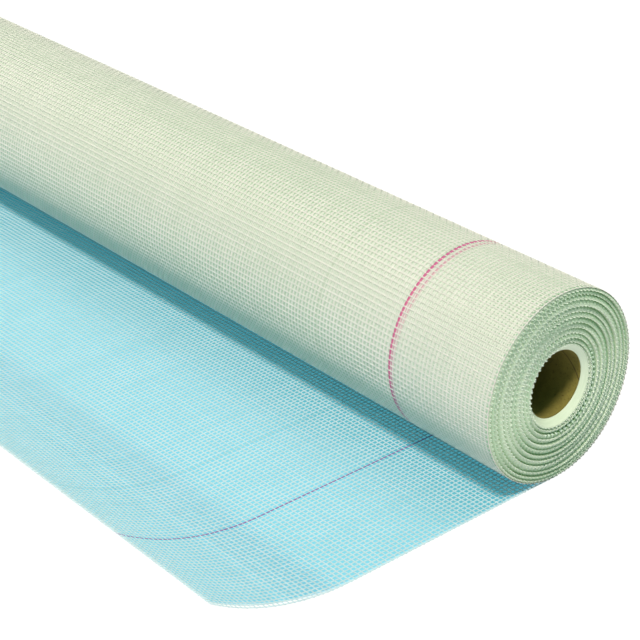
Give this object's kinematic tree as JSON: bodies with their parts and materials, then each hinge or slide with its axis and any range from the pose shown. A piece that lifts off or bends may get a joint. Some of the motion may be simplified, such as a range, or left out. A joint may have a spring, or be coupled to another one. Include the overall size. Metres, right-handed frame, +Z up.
{
  "type": "roll of fiberglass mesh",
  "caption": "Partly unrolled roll of open-weave fiberglass reinforcing mesh on a cardboard tube, with a loose tail that lies flat and curls up at its cut end.",
  "frame": {"origin": "on the floor, straight below the middle of the roll's axis, where the lowest turn rests", "axes": "+X along the axis of the roll, +Z up, and -Y towards the cut end of the tail"},
  "size_m": [1.0018, 0.3905, 0.15],
  "materials": {
    "glass_mesh": "cream white glass yarns in an open square weave with a pale green coating, satin, with one coloured marker yarn near the edge",
    "tube_board": "spiral-wound brown paper board, matt"
  },
  "bodies": {
    "root": {"fiberglass_mesh": "glass_mesh", "cardboard_tube": "tube_board"}
  },
  "joints": []
}
